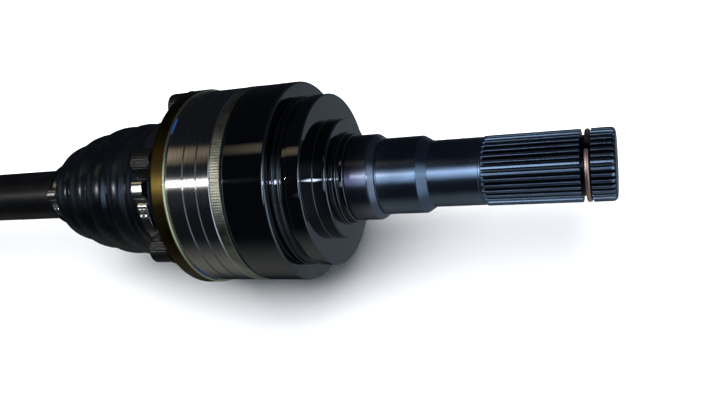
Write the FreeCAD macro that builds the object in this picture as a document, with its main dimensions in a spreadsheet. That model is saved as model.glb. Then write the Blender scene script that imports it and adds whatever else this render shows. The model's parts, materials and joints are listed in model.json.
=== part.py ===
"""Drive axle with a six-bolt plunging constant-velocity joint at each end.

Millimetres, +Z up.  The axle lies along X with the gearbox stub ("diff") at +X and the hub stub
("wheel") at -X, and the origin is on the axis, midway between the two tips.  Every piece of a joint is
drawn round that joint's own centre with X pointing outwards along its stub, then placed at its end.
"""
import FreeCAD, Part
import Sketcher
import math
import os
import re

os.makedirs("parts", exist_ok=True)
DOC = FreeCAD.newDocument("DriveAxle")

# Distances along the axle are from the joint's centre, outwards; radii are from the axle's axis.
DIMENSIONS = {
    # whole axle
    "joint_spacing": 420.0, "diff_reach": 203.6, "wheel_reach": 150.0, "edge_break": 0.8,
    # how far a cut starts before a face and ends past it
    "cut_spill": 1.0,
    # circle of bolts, and its turn from the vertical; the balls lie between the bolts
    "bolt_count": 6, "bolt_circle": 94.0, "bolt_turn": 18.0, "ball_count": 6,
    # bar
    "bar_radius": 15.4, "bar_shoulder": 30.0, "bar_shoulder_slope": 1.2, "bar_end": 28.0,
    "bar_end_chamfer": 1.0, "bar_spline_radius": 14.9,
    "bar_spline_root": 13.8, "bar_spline_inner_end": 26.0, "bar_teeth": 33,
    "bar_gap_root": 1.0, "bar_gap_mouth": 1.9,
    # stop rings either side of the inner race, which floats between them
    "stop_near": 24.0, "stop_far": 25.6, "stop_inner": 13.35, "stop_outer": 16.6,
    "stop_groove_radius": 13.3, "stop_groove_slack": 0.1, "ring_sweep": 332.0,
    # inner race
    "star_half": 14.5, "star_radius": 29.1, "star_bore": 13.86, "star_spline_radius": 14.98,
    "star_slot_bore": 1.82, "star_slot_root": 1.05, "star_slot_spill": 0.4,
    # cage and balls
    "cage_half": 17.0, "cage_inner": 29.5, "cage_outer": 35.1, "window_width": 19.1,
    "window_length": 21.4, "ball_radius": 9.5, "pitch_radius": 30.0, "track_radius": 10.4,
    # outer race
    "race_half": 16.0, "race_radius": 54.0, "race_bore": 35.6, "race_groove_width": 0.9,
    "race_groove_depth": 0.5, "race_second_groove": 7.9, "bolt_hole_radius": 5.2,
    # end cap between the race and the stub's flange
    "cap_rim_radius": 54.2, "cap_dome_inner": 40.2, "cap_dome_outer": 41.4, "flange_face": 21.7,
    # gasket and boot flange on the race's other side
    "gasket_thickness": 0.6, "gasket_inner": 39.4, "gasket_outer": 53.6, "plate_thickness": 3.4,
    "rim_length": 9.6, "rim_inner": 54.1, "rim_radius": 55.4, "neck_end": 43.0, "neck_inner": 35.9,
    "neck_radius": 37.4, "bend_break": 1.2,
    # bolts and washers
    "washer_thickness": 1.0, "washer_bore": 5.3, "washer_radius": 8.6, "head_height": 11.5,
    "head_radius": 8.0, "socket_radius": 4.62, "socket_depth": 5.0, "bolt_radius": 4.9,
    "bolt_tip": 36.0, "tapped_radius": 4.95, "tapped_end": 38.0,
    # boot: a neck on the bar, a bell with four ribs and a cuff on the boot flange's neck
    "boot_wall": 2.6, "boot_neck_end": 124.5, "boot_neck_bore": 15.45, "boot_neck_radius": 18.0,
    "boot_neck_length": 9.0, "boot_cuff_radius": 39.6, "boot_cuff_bore": 37.45,
    "boot_cuff_start": 44.0, "boot_cuff_end": 32.6,
    # boot clamps
    "clamp_thickness": 0.95, "clamp_width": 6.6, "large_clamp_start": 40.4, "small_clamp_width": 6.1,
    "small_clamp_start": 122.6, "clamp_slack": 0.05, "ear_length": 11.0, "ear_height": 7.0,
    "ear_turn": 35.0,
    # gearbox stub
    "pocket_radius": 42.0, "flange_radius": 54.0, "flange_edge_break": 1.6, "flange_end": 46.7,
    "disc_radius": 46.1, "disc_end": 61.6,
    "disc_groove_radius": 44.9, "disc_groove_one_start": 47.2, "disc_groove_one_end": 49.2,
    "disc_groove_two_start": 50.0, "disc_groove_two_end": 53.7, "boss_radius": 32.2, "boss_end": 69.1,
    "collar_one_radius": 25.0, "collar_one_end": 71.2, "collar_two_radius": 24.0,
    "collar_two_start": 72.2, "collar_two_end": 74.7, "collar_groove_radius": 23.4,
    "shank_radius": 22.6, "shank_end": 85.8, "cone_end_radius": 20.5, "cone_end": 89.8,
    "relief_radius": 19.2, "relief_end": 90.9, "seal_radius": 19.9, "seal_end": 111.5,
    "journal_radius": 17.0, "taper_end": 116.3, "journal_end": 141.6, "runout_radius": 16.7,
    "diff_spline_start": 143.2, "diff_spline_radius": 17.4, "diff_spline_root": 16.2,
    "diff_teeth": 35, "diff_gap_root": 0.9, "diff_gap_mouth": 1.9, "tip_chamfer": 2.2,
    "snap_groove_start": 188.2, "snap_groove_end": 192.8, "snap_groove_radius": 14.3,
    "snap_wire_radius": 1.5, "snap_ring_radius": 15.85, "snap_ring_place": 191.1, "snap_gap_turn": -171.0,
    # hub stub
    "hub_flange_end": 41.7, "hub_boss_radius": 34.0, "hub_boss_end": 52.0, "bearing_radius": 22.5,
    "bearing_end": 76.0, "hub_spline_radius": 19.9, "hub_spline_root": 18.6,
    "hub_spline_start": 79.0, "hub_spline_end": 108.0,
    "hub_teeth": 35, "hub_gap_root": 1.1, "hub_gap_mouth": 2.2, "thread_radius": 12.0,
    "thread_chamfer": 1.5, "pin_hole_radius": 2.0, "pin_hole_place": 142.0,
    "hub_washer_thickness": 5.0, "hub_washer_radius": 21.5, "hub_nut_height": 22.0,
    "hub_nut_across_corners": 41.6, "hub_nut_slack": 0.05,
}

SHEET = DOC.addObject("Spreadsheet::Sheet", "Dims")
for row, (alias, number) in enumerate(DIMENSIONS.items(), start=1):
    SHEET.set(f"A{row}", alias)
    SHEET.set(f"B{row}", str(number))
    SHEET.setAlias(f"B{row}", alias)
DOC.recompute()

PIECES = []
FULL_TURN = 360.0
LONG_CUT = 60.0         # longer than any piece it cuts through
AXIS_LINE = 10.0        # length of a sketch's construction line
SLOT_FLARE = 0.6        # how far a spline slot's sides run on past the shaft, as a share of its depth
ALONG_X = FreeCAD.Rotation(FreeCAD.Vector(0, 1, 0), 90)
JOINT_CENTRE = {
    "diff": "(joint_spacing + wheel_reach - diff_reach) / 2",
    "wheel": "-(joint_spacing + diff_reach - wheel_reach) / 2",
}


# ---------------------------------------------------------------- expressions and placing

def on_sheet(expression):
    """The expression with each bare alias written out as a cell of the sheet."""
    return re.sub(r"\b([a-z][a-z_]{2,})\b", r"Dims.\1", expression)


def number_of(expression):
    """The expression's present value."""
    return float(SHEET.evalExpression(on_sheet(expression)))


def bind(part, name, expression):
    """Ties one property of a part to the sheet."""
    part.setExpression(name, on_sheet(expression))


def origin_feature(body, role):
    """One of the body's own origin planes or axes."""
    return next(feature for feature in body.Origin.OriginFeatures if feature.Role == role)


def about_x(angle):
    """A rotation about the axle's axis."""
    return FreeCAD.Rotation(FreeCAD.Vector(1, 0, 0), angle)


def new_piece(label, side, turn="0"):
    """A body drawn round its joint's centre, turned about the axle and placed at its end of the axle."""
    body = DOC.addObject("PartDesign::Body", label)
    body.Label = label
    body.AllowCompound = True
    angle = number_of(turn)
    rotation = about_x(angle)
    if side == "wheel":
        rotation = FreeCAD.Rotation(FreeCAD.Vector(0, 0, 1), 180) * about_x(-angle)
    body.Placement = FreeCAD.Placement(FreeCAD.Vector(), rotation)
    if side in JOINT_CENTRE:
        bind(body, "Placement.Base.x", JOINT_CENTRE[side])
    PIECES.append(body)
    return body


BOLT_TURN = "bolt_turn"
BALL_TURN = "bolt_turn + 180 / bolt_count"


# ---------------------------------------------------------------- sketches and features

def centred_arc(start, end, radius):
    """The shorter arc about the sketch's origin, and whether it runs from start to end."""
    first = math.atan2(start.y, start.x)
    last = math.atan2(end.y, end.x)
    forward = last > first
    circle = Part.Circle(FreeCAD.Vector(), FreeCAD.Vector(0, 0, 1), radius)
    return Part.ArcOfCircle(circle, min(first, last), max(first, last)), forward


def outline(body, name, plane, points, arcs=None, axis_height=None):
    """A closed, fully dimensioned outline.

    Each point is a pair of expressions.  arcs maps the index of a point to the radius of an arc about
    the joint's centre that runs from it to the next point; a coordinate given as None is where that
    arc ends.  axis_height adds a construction line for the outline to be revolved about.
    """
    arcs = arcs or {}
    sketch = body.newObject("Sketcher::SketchObject", f"{body.Name}_{name}")
    sketch.AttachmentSupport = (origin_feature(body, plane), [""])
    sketch.MapMode = "FlatFace"
    count = len(points)

    def arc_radius(index):
        return number_of(arcs[index] if index in arcs else arcs[(index - 1) % count])

    places = []
    for index, (across, up) in enumerate(points):
        if across is None:
            height = number_of(up)
            place = (math.sqrt(arc_radius(index) ** 2 - height ** 2), height)
        elif up is None:
            width = number_of(across)
            place = (width, math.sqrt(arc_radius(index) ** 2 - width ** 2))
        else:
            place = (number_of(across), number_of(up))
        places.append(FreeCAD.Vector(*place, 0))

    ends = []
    for index, place in enumerate(places):
        following = places[(index + 1) % count]
        if index in arcs:
            curve, forward = centred_arc(place, following, number_of(arcs[index]))
            sketch.addGeometry(curve, False)
            ends.append((1, 2) if forward else (2, 1))
            sketch.addConstraint(Sketcher.Constraint("Coincident", index, 3, -1, 1))
            radius = sketch.addConstraint(Sketcher.Constraint("Radius", index, number_of(arcs[index])))
            bind(sketch, f"Constraints[{radius}]", arcs[index])
        else:
            sketch.addGeometry(Part.LineSegment(place, following), False)
            ends.append((1, 2))
    for index, (across, up) in enumerate(points):
        following = (index + 1) % count
        sketch.addConstraint(
            Sketcher.Constraint("Coincident", index, ends[index][1], following, ends[following][0]))
        for kind, expression, value in (("DistanceX", across, places[index].x),
                                        ("DistanceY", up, places[index].y)):
            if expression is None:
                continue
            size = sketch.addConstraint(Sketcher.Constraint(kind, -1, 1, index, ends[index][0], value))
            bind(sketch, f"Constraints[{size}]", expression)
    if axis_height:
        height = number_of(axis_height)
        sketch.addGeometry(
            Part.LineSegment(FreeCAD.Vector(0, height, 0), FreeCAD.Vector(AXIS_LINE, height, 0)), True)
        sketch.addConstraint(Sketcher.Constraint("Horizontal", count))
        sketch.addConstraint(Sketcher.Constraint("PointOnObject", count, 1, -2))
        sketch.addConstraint(Sketcher.Constraint("Distance", count, AXIS_LINE))
        size = sketch.addConstraint(Sketcher.Constraint("DistanceY", -1, 1, count, 1, height))
        bind(sketch, f"Constraints[{size}]", axis_height)
    return sketch


def revolve(body, points, arcs=None, sweep=None):
    """Revolves an outline, given as distances along and radii, about the axle's axis."""
    sketch = outline(body, "outline", "XY_Plane", points, arcs)
    turned = body.newObject("PartDesign::Revolution", f"{body.Name}_turned")
    turned.Profile = sketch
    turned.ReferenceAxis = (sketch, ["H_Axis"])
    turned.Angle = FULL_TURN
    if sweep:
        bind(turned, "Angle", sweep)
    return turned


def repeat(body, name, originals, number, count_is_half=False):
    """Repeats features evenly round the axle's axis."""
    pattern = body.newObject("PartDesign::PolarPattern", f"{body.Name}_{name}")
    pattern.Originals = originals
    pattern.Axis = (origin_feature(body, "X_Axis"), [""])
    if count_is_half:
        bind(pattern, "Occurrences", f"{number} / 2")
        bind(pattern, "Angle", f"180 - 360 / {number}")
    else:
        bind(pattern, "Occurrences", number)
        pattern.Angle = FULL_TURN
    body.Tip = pattern
    return pattern


def cylinder(body, name, kind, radius, start, height, offset="0"):
    """A cylinder along the axle from start, added to the body or taken out of it."""
    part = body.newObject(f"PartDesign::{kind}Cylinder", f"{body.Name}_{name}")
    part.Placement = FreeCAD.Placement(FreeCAD.Vector(), ALONG_X)
    bind(part, "Radius", radius)
    bind(part, "Height", height)
    bind(part, "Placement.Base.x", start)
    bind(part, "Placement.Base.z", offset)
    return part


def bolt_holes(body, radius, face, end):
    """A ring of holes on the bolt circle, cut from just before a face to an end."""
    length = f"({end}) - ({face}) + cut_spill"
    hole = cylinder(body, "hole", "Subtractive", radius, f"{face} - cut_spill", length, BOLT_AXIS)
    repeat(body, "holes", [hole], "bolt_count")


def spline_slots(body, name, teeth, inner, outer, far_end, length):
    """Slots along the axle that leave straight-sided spline teeth.

    inner and outer are the slot's (radius, half width) at its two ends.
    """
    corners = [(f"-({inner[1]})", inner[0]), (inner[1], inner[0]),
               (outer[1], outer[0]), (f"-({outer[1]})", outer[0])]
    sketch = outline(body, name, "YZ_Plane", corners)
    bind(sketch, "AttachmentOffset.Base.z", far_end)
    slot = body.newObject("PartDesign::Pocket", f"{body.Name}_{name}_slot")
    slot.Profile = sketch
    bind(slot, "Length", length)
    return repeat(body, f"{name}_slots", [slot], teeth)


def outside_spline(body, name, teeth, root, radius, gap_root, gap_mouth, far_end, length):
    """Cuts spline teeth into a shaft; the slots flare on past the shaft's surface."""
    flare = f"({gap_mouth} + ({gap_mouth} - {gap_root}) * {SLOT_FLARE}) / 2"
    spill = f"{radius} + ({radius} - {root}) * {SLOT_FLARE}"
    spline_slots(body, name, teeth, (root, f"({gap_root}) / 2"), (spill, flare), far_end, length)


# ---------------------------------------------------------------- bar

def bar_outline():
    """The bar's outline about its own middle: a splined end with two ring grooves either side."""
    def end_points(sign):
        def along(distance):
            return f"{sign}(joint_spacing / 2 + {distance})"

        def groove(near, far):
            return [(along(near), "bar_spline_radius"), (along(near), "stop_groove_radius"),
                    (along(far), "stop_groove_radius"), (along(far), "bar_spline_radius")]

        inner_groove = groove("(-stop_far - stop_groove_slack)", "(-stop_near + stop_groove_slack)")
        outer_groove = groove("(stop_near - stop_groove_slack)", "(stop_far + stop_groove_slack)")
        return [(along("(-bar_shoulder - bar_shoulder_slope)"), "bar_radius"),
                (along("(-bar_shoulder)"), "bar_spline_radius"),
                *inner_groove, *outer_groove,
                (along("(bar_end - bar_end_chamfer)"), "bar_spline_radius"),
                (along("bar_end"), "bar_spline_radius - bar_end_chamfer"),
                (along("bar_end"), "0")]

    return end_points("") + end_points("-")[::-1]


def make_bar():
    body = new_piece("axle_shaft", "middle", BALL_TURN)
    bind(body, "Placement.Base.x", "(wheel_reach - diff_reach) / 2")
    revolve(body, bar_outline())
    spline = ("bar_teeth", "bar_spline_root", "bar_spline_radius", "bar_gap_root", "bar_gap_mouth")
    length = "bar_spline_inner_end + bar_end"
    outside_spline(body, "diff_end", *spline, "joint_spacing / 2 + bar_end", length)
    outside_spline(body, "wheel_end", *spline, "bar_spline_inner_end - joint_spacing / 2", length)


# ---------------------------------------------------------------- inside each joint

def make_stop_ring(side, name, near, far):
    """A split ring in one of the bar's grooves."""
    body = new_piece(f"{side}_{name}", side)
    revolve(body, [(near, "stop_inner"), (far, "stop_inner"), (far, "stop_outer"), (near, "stop_outer")],
            sweep="ring_sweep")


def make_inner_race(side):
    """The star: a ball-shaped ring with a splined bore and six curved tracks."""
    body = new_piece(f"{side}_inner_race", side, BALL_TURN)
    revolve(body, [("-star_half", "star_bore"), ("star_half", "star_bore"),
                   ("star_half", None), ("-star_half", None)], arcs={2: "star_radius"})
    track = ball_track(body)
    repeat(body, "tracks", [track], "ball_count", count_is_half=True)
    # With an odd number of teeth, a slot lies opposite each gap of the bar's spline.
    spline_slots(body, "bore", "bar_teeth",
                 ("-(star_bore - star_slot_spill)", "star_slot_bore / 2"),
                 ("-star_spline_radius", "star_slot_root / 2"), "star_half", "2 * star_half")


def ball_track(body, turn=0.0):
    """A ring-shaped cut about the joint's centre that clears a ball as the joint swings."""
    ring = body.newObject("PartDesign::SubtractiveTorus", f"{body.Name}_track")
    ring.Placement = FreeCAD.Placement(FreeCAD.Vector(), about_x(90 + turn))
    bind(ring, "Radius1", "pitch_radius")
    bind(ring, "Radius2", "track_radius")
    return ring


def make_cage(side):
    body = new_piece(f"{side}_cage", side, BALL_TURN)
    revolve(body, [("-cage_half", None), ("cage_half", None), ("cage_half", None), ("-cage_half", None)],
            arcs={0: "cage_inner", 2: "cage_outer"})
    sketch = outline(body, "window", "XY_Plane", [
        ("-window_width / 2", "-window_length / 2"), ("window_width / 2", "-window_length / 2"),
        ("window_width / 2", "window_length / 2"), ("-window_width / 2", "window_length / 2")])
    window = body.newObject("PartDesign::Pocket", f"{body.Name}_window_cut")
    window.Profile = sketch
    window.Reversed = True
    window.Length = LONG_CUT
    repeat(body, "windows", [window], "ball_count")


def make_balls(side):
    body = new_piece(f"{side}_balls", side, BALL_TURN)
    ball = body.newObject("PartDesign::AdditiveSphere", f"{body.Name}_ball")
    bind(ball, "Radius", "ball_radius")
    bind(ball, "Placement.Base.z", "pitch_radius")
    repeat(body, "ring", [ball], "ball_count")


# ---------------------------------------------------------------- joint housing

def make_outer_race(side):
    """The turned ring with two fine grooves round it, six tracks inside and six bolt holes."""
    def groove(middle):
        near = f"{middle} - race_groove_width / 2"
        far = f"{middle} + race_groove_width / 2"
        floor = "race_radius - race_groove_depth"
        return [(near, "race_radius"), (near, floor), (far, floor), (far, "race_radius")]

    body = new_piece(f"{side}_outer_race", side, BOLT_TURN)
    revolve(body, [("-race_half", "race_bore"), ("-race_half", "race_radius - edge_break"),
                   ("-race_half + edge_break", "race_radius"),
                   *groove("0"), *groove("race_second_groove"),
                   ("race_half - edge_break", "race_radius"), ("race_half", "race_radius - edge_break"),
                   ("race_half", "race_bore")])
    track = ball_track(body, turn=180 / number_of("ball_count"))
    repeat(body, "tracks", [track], "ball_count", count_is_half=True)
    bolt_holes(body, "bolt_hole_radius", "-race_half", "race_half + cut_spill")


def make_end_cap(side):
    """The plated cap that closes the joint: a thick rim and a thin dome over the bar's end."""
    body = new_piece(f"{side}_end_cap", side, BOLT_TURN)
    revolve(body, [(None, "0"), ("race_half", None), ("race_half", "cap_rim_radius"),
                   ("flange_face", "cap_rim_radius"), ("flange_face", None), (None, "0")],
            arcs={0: "cap_dome_inner", 4: "cap_dome_outer"})
    bolt_holes(body, "bolt_hole_radius", "race_half", "flange_face + cut_spill")


def make_gasket(side):
    body = new_piece(f"{side}_gasket", side, BOLT_TURN)
    far = "-race_half - gasket_thickness"
    revolve(body, [("-race_half", "gasket_inner"), ("-race_half", "gasket_outer"),
                   (far, "gasket_outer"), (far, "gasket_inner")])
    bolt_holes(body, "washer_bore", far, "-race_half + cut_spill")


PLATE_INSIDE = "-race_half - gasket_thickness"
PLATE_FACE = "-race_half - gasket_thickness - plate_thickness"
HEAD_SEAT = "-race_half - gasket_thickness - plate_thickness - washer_thickness"
BOLT_AXIS = "bolt_circle / 2"


def make_boot_flange(side):
    """The pressed flange: a plate on the gasket, a rim over the race and a neck for the boot."""
    body = new_piece(f"{side}_boot_flange", side, BOLT_TURN)
    rim_end = f"{PLATE_FACE} + rim_length"
    revolve(body, [("-neck_end", "neck_inner"), (PLATE_INSIDE, "neck_inner"), (PLATE_INSIDE, "rim_inner"),
                   (rim_end, "rim_inner"), (rim_end, "rim_radius"),
                   (f"{PLATE_FACE} + bend_break", "rim_radius"), (PLATE_FACE, "rim_radius - bend_break"),
                   (PLATE_FACE, "neck_radius"), ("-neck_end", "neck_radius")])
    bolt_holes(body, "bolt_hole_radius", PLATE_FACE, f"{PLATE_INSIDE} + cut_spill")


def ring_of_turned(body, points):
    """Revolves an outline about a bolt's own axis and repeats it round the bolt circle."""
    sketch = outline(body, "outline", "XZ_Plane", points, axis_height=BOLT_AXIS)
    turned = body.newObject("PartDesign::Revolution", f"{body.Name}_turned")
    turned.Profile = sketch
    turned.ReferenceAxis = (sketch, ["Axis0"])
    turned.Angle = FULL_TURN
    repeat(body, "ring", [turned], "bolt_count")


def make_washers(side):
    far = f"{HEAD_SEAT} + washer_thickness"
    ring_of_turned(new_piece(f"{side}_washers", side, BOLT_TURN), [
        (HEAD_SEAT, f"{BOLT_AXIS} + washer_bore"), (HEAD_SEAT, f"{BOLT_AXIS} + washer_radius"),
        (far, f"{BOLT_AXIS} + washer_radius"), (far, f"{BOLT_AXIS} + washer_bore")])


def make_bolts(side):
    """Socket-head bolts with their heads on the boot's side, each one solid."""
    body = new_piece(f"{side}_bolts", side, BOLT_TURN)
    top = f"{HEAD_SEAT} - head_height"
    ring_of_turned(body, [
        (top, BOLT_AXIS), (top, f"{BOLT_AXIS} + head_radius - edge_break"),
        (f"{top} + edge_break", f"{BOLT_AXIS} + head_radius"), (HEAD_SEAT, f"{BOLT_AXIS} + head_radius"),
        (HEAD_SEAT, f"{BOLT_AXIS} + bolt_radius"), ("bolt_tip - edge_break", f"{BOLT_AXIS} + bolt_radius"),
        ("bolt_tip", f"{BOLT_AXIS} + bolt_radius - edge_break"), ("bolt_tip", BOLT_AXIS)])
    socket = body.newObject("PartDesign::SubtractivePrism", f"{body.Name}_socket")
    socket.Polygon = 6
    socket.Placement = FreeCAD.Placement(FreeCAD.Vector(), ALONG_X)
    bind(socket, "Circumradius", "socket_radius")
    bind(socket, "Height", "socket_depth")
    bind(socket, "Placement.Base.x", top)
    bind(socket, "Placement.Base.z", BOLT_AXIS)
    repeat(body, "sockets", [socket], "bolt_count")


# ---------------------------------------------------------------- boot and clamps

# The bell's corners from the neck to the cuff: distance inwards from the joint's centre, outer radius.
BOOT_BELL = [(113.0, 24.0), (109.5, 27.4), (104.5, 29.6), (99.5, 30.4), (97.5, 29.8), (93.5, 33.0),
             (88.5, 34.8), (83.0, 35.3), (80.5, 34.4), (76.5, 37.2), (71.5, 38.3), (66.5, 38.2),
             (64.0, 36.8), (60.5, 38.6), (56.5, 39.1), (53.0, 38.6), (50.5, 37.4), (47.5, 37.6)]


def make_boot(side):
    """A rubber bell with four ribs, of one wall thickness between its neck and its cuff."""
    neck_inner_end = "-boot_neck_end + boot_neck_length"
    outside = [("-boot_neck_end", "boot_neck_radius"), (neck_inner_end, "boot_neck_radius")]
    outside += [(f"-{place}", str(radius)) for place, radius in BOOT_BELL]
    outside += [("-boot_cuff_start", "boot_cuff_radius"), ("-boot_cuff_end", "boot_cuff_radius")]
    inside = [("-boot_cuff_end", "boot_cuff_bore"), ("-boot_cuff_start", "boot_cuff_bore")]
    inside += [(f"-{place}", f"{radius} - boot_wall") for place, radius in reversed(BOOT_BELL)]
    inside += [(neck_inner_end, "boot_neck_bore"), ("-boot_neck_end", "boot_neck_bore")]
    revolve(new_piece(f"{side}_boot", side), outside + inside)


def make_clamp(side, name, start, width, inner):
    """A band clamp with its closing ear, which stands between two bolts."""
    body = new_piece(f"{side}_{name}", side, "ear_turn")
    far = f"-({start}) + {width}"
    outer = f"{inner} + clamp_thickness"
    revolve(body, [(f"-({start})", inner), (far, inner), (far, outer), (f"-({start})", outer)])
    ear = body.newObject("PartDesign::AdditiveBox", f"{body.Name}_ear")
    bind(ear, "Length", width)
    bind(ear, "Width", "ear_length")
    bind(ear, "Height", "ear_height")
    bind(ear, "Placement.Base.x", f"-({start})")
    bind(ear, "Placement.Base.y", "-ear_length / 2")
    bind(ear, "Placement.Base.z", f"{inner} + clamp_thickness / 2")


# ---------------------------------------------------------------- stubs

def flange_start():
    """The outline shared by both stubs' flanges: a round pocket behind the end cap and the rim's edge."""
    return [(None, "0"), ("flange_face", None), ("flange_face", "flange_radius - edge_break"),
            ("flange_face + edge_break", "flange_radius")]


def make_diff_stub():
    """The gearbox stub: flange, stepped discs, seal and bearing journals and a long spline."""
    body = new_piece("diff_stub", "diff", BOLT_TURN)
    revolve(body, [
        *flange_start(),
        ("flange_end - flange_edge_break", "flange_radius"),
        ("flange_end", "flange_radius - flange_edge_break"),
        ("flange_end", "disc_radius"),
        ("disc_groove_one_start", "disc_radius"), ("disc_groove_one_start", "disc_groove_radius"),
        ("disc_groove_one_end", "disc_groove_radius"), ("disc_groove_one_end", "disc_radius"),
        ("disc_groove_two_start", "disc_radius"), ("disc_groove_two_start", "disc_groove_radius"),
        ("disc_groove_two_end", "disc_groove_radius"), ("disc_groove_two_end", "disc_radius"),
        ("disc_end - edge_break", "disc_radius"), ("disc_end", "disc_radius - edge_break"),
        ("disc_end", "boss_radius"),
        ("boss_end - edge_break", "boss_radius"), ("boss_end", "boss_radius - edge_break"),
        ("boss_end", "collar_one_radius"), ("collar_one_end", "collar_one_radius"),
        ("collar_one_end", "collar_groove_radius"), ("collar_two_start", "collar_groove_radius"),
        ("collar_two_start", "collar_two_radius"), ("collar_two_end", "collar_two_radius"),
        ("collar_two_end", "shank_radius"), ("shank_end", "shank_radius"),
        ("cone_end", "cone_end_radius"), ("cone_end", "relief_radius"),
        ("relief_end", "relief_radius"), ("relief_end", "seal_radius"),
        ("seal_end", "seal_radius"), ("taper_end", "journal_radius"),
        ("journal_end", "journal_radius"), ("journal_end", "runout_radius"),
        ("diff_spline_start", "runout_radius"), ("diff_spline_start", "diff_spline_radius"),
        ("snap_groove_start", "diff_spline_radius"), ("snap_groove_start", "snap_groove_radius"),
        ("snap_groove_end", "snap_groove_radius"), ("snap_groove_end", "diff_spline_radius"),
        ("diff_reach - tip_chamfer", "diff_spline_radius"),
        ("diff_reach", "diff_spline_radius - tip_chamfer"), ("diff_reach", "0")],
        arcs={0: "pocket_radius"})
    bolt_holes(body, "tapped_radius", "flange_face", "tapped_end")
    outside_spline(body, "tip", "diff_teeth", "diff_spline_root", "diff_spline_radius", "diff_gap_root",
                   "diff_gap_mouth", "diff_reach", "diff_reach - diff_spline_start")


def make_snap_ring():
    """The split round-wire ring near the gearbox stub's tip."""
    body = new_piece("diff_snap_ring", "diff", "snap_gap_turn")
    ring = body.newObject("PartDesign::AdditiveTorus", "diff_snap_ring_wire")
    ring.Placement = FreeCAD.Placement(FreeCAD.Vector(), ALONG_X)
    bind(ring, "Radius1", "snap_ring_radius")
    bind(ring, "Radius2", "snap_wire_radius")
    bind(ring, "Angle3", "ring_sweep")
    bind(ring, "Placement.Base.x", "snap_ring_place")


def make_hub_stub():
    """The hub stub: flange, boss, bearing journal, spline and threaded end with a split-pin hole."""
    body = new_piece("wheel_stub", "wheel", BOLT_TURN)
    revolve(body, [
        *flange_start(),
        ("hub_flange_end - flange_edge_break", "flange_radius"),
        ("hub_flange_end", "flange_radius - flange_edge_break"),
        ("hub_flange_end", "hub_boss_radius"),
        ("hub_boss_end - edge_break", "hub_boss_radius"), ("hub_boss_end", "hub_boss_radius - edge_break"),
        ("hub_boss_end", "bearing_radius"),
        ("bearing_end - edge_break", "bearing_radius"), ("bearing_end", "bearing_radius - edge_break"),
        ("bearing_end", "hub_spline_radius"),
        ("hub_spline_end - edge_break", "hub_spline_radius"),
        ("hub_spline_end", "hub_spline_radius - edge_break"), ("hub_spline_end", "thread_radius"),
        ("wheel_reach - thread_chamfer", "thread_radius"),
        ("wheel_reach", "thread_radius - thread_chamfer"), ("wheel_reach", "0")],
        arcs={0: "pocket_radius"})
    bolt_holes(body, "tapped_radius", "flange_face", "tapped_end")
    outside_spline(body, "hub", "hub_teeth", "hub_spline_root", "hub_spline_radius", "hub_gap_root",
                   "hub_gap_mouth", "hub_spline_end", "hub_spline_end - hub_spline_start")
    pin_hole = body.newObject("PartDesign::SubtractiveCylinder", "wheel_stub_pin_hole")
    bind(pin_hole, "Radius", "pin_hole_radius")
    bind(pin_hole, "Height", "4 * thread_radius")
    bind(pin_hole, "Placement.Base.x", "pin_hole_place")
    bind(pin_hole, "Placement.Base.z", "-2 * thread_radius")


def make_hub_fasteners():
    """The thick washer against the hub spline's end and the nut on the thread."""
    bore = "thread_radius + hub_nut_slack"
    nut_start = "hub_spline_end + hub_washer_thickness"
    washer = new_piece("wheel_hub_washer", "wheel")
    revolve(washer, [("hub_spline_end", bore), (nut_start, bore), (nut_start, "hub_washer_radius"),
                     ("hub_spline_end", "hub_washer_radius")])
    nut = new_piece("wheel_hub_nut", "wheel")
    block = nut.newObject("PartDesign::AdditivePrism", "wheel_hub_nut_block")
    block.Polygon = 6
    block.Placement = FreeCAD.Placement(FreeCAD.Vector(), ALONG_X)
    bind(block, "Circumradius", "hub_nut_across_corners / 2")
    bind(block, "Height", "hub_nut_height")
    bind(block, "Placement.Base.x", nut_start)
    cylinder(nut, "bore", "Subtractive", bore, f"{nut_start} - cut_spill", "hub_nut_height + 2 * cut_spill")


# ---------------------------------------------------------------- whole axle

def make_joint(side):
    """Every piece that the two joints have in common."""
    make_stop_ring(side, "outer_stop_ring", "stop_near", "stop_far")
    make_stop_ring(side, "inner_stop_ring", "-stop_far", "-stop_near")
    make_inner_race(side)
    make_cage(side)
    make_balls(side)
    make_outer_race(side)
    make_end_cap(side)
    make_gasket(side)
    make_boot_flange(side)
    make_washers(side)
    make_bolts(side)
    make_boot(side)
    make_clamp(side, "large_boot_clamp", "large_clamp_start", "clamp_width",
               "boot_cuff_radius + clamp_slack")
    make_clamp(side, "small_boot_clamp", "small_clamp_start", "small_clamp_width",
               "boot_neck_radius + clamp_slack")


def check(document):
    """Stops if any feature failed or any piece has no valid solid."""
    for part in document.Objects:
        if "Invalid" in part.State or "Error" in part.State:
            raise RuntimeError(f"{part.Name} did not recompute: {part.State}")
    for body in PIECES:
        if body.Shape.isNull() or not body.Shape.isValid() or not body.Shape.Solids:
            raise RuntimeError(f"{body.Label} has no valid solid")


make_bar()
for joint_side in ("diff", "wheel"):
    make_joint(joint_side)
make_diff_stub()
make_snap_ring()
make_hub_stub()
make_hub_fasteners()
DOC.recompute()
check(DOC)
for piece in PIECES:
    piece.Shape.exportStep(f"parts/{piece.Label}.step")
    print(f"{piece.Label}: {len(piece.Shape.Solids)} solid(s), {piece.Shape.Volume:.0f} mm3")
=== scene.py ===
"""Looks for the drive axle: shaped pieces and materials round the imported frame, floor, light and camera."""
import json
import math
import random

import bmesh
import bpy
from mathutils import Matrix, Vector


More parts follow.
